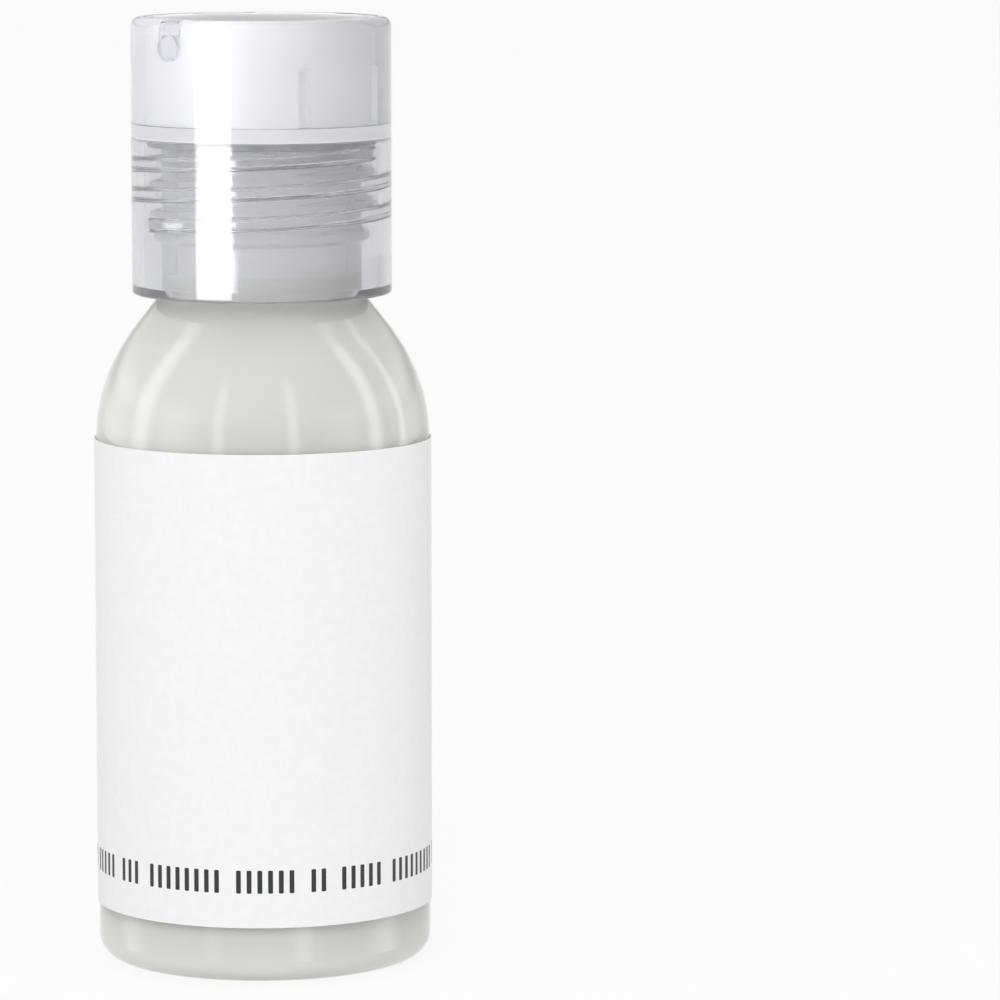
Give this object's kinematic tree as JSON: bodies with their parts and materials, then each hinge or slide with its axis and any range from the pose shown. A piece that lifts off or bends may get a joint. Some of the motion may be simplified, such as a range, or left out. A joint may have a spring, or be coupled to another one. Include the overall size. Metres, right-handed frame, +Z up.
{
  "type": "press-top lotion bottle",
  "caption": "Small round clear lotion bottle with a sloped shoulder, a white wrap label and a clear screw-on press-top dispensing closure.",
  "frame": {"origin": "centre of the ring that the bottle stands on", "axes": "+Z up along the bottle's axis, -Y towards the spout, X along the pivot of the press disc"},
  "size_m": [0.0294, 0.0294, 0.0826],
  "materials": {
    "clear_wall": "gloss",
    "lotion": "satin",
    "label_film": "satin",
    "gasket_foam": "matte",
    "clear_closure": "gloss",
    "clear_disc": "gloss"
  },
  "bodies": {
    "bottle": {"bottle": "clear_wall", "lotion_fill": "lotion", "wrap_label": "label_film"},
    "gasket": {"sealing_gasket": "gasket_foam"},
    "closure": {"closure_base": "clear_closure"},
    "disc": {"press_disc": "clear_disc"}
  },
  "joints": [
    {"name": "cap_lift", "type": "slide", "parent": "bottle", "child": "gasket", "axis": [0, 0, 1], "range_m": [0, 0.00585]},
    {"name": "cap_turn", "type": "hinge", "parent": "gasket", "child": "closure", "pos_m": [0, 0, 0.072], "axis": [0, 0, 1], "range_deg": [0, 810]},
    {"name": "disc_tilt", "type": "hinge", "parent": "closure", "child": "disc", "pos_m": [0, 0, 0.07992], "axis": [-1, 0, 0], "range_deg": [0, 24]}
  ],
  "couplings": [
    {"joint": "cap_lift", "follows": "cap_turn", "m_per_rad": 0.0004138}
  ]
}
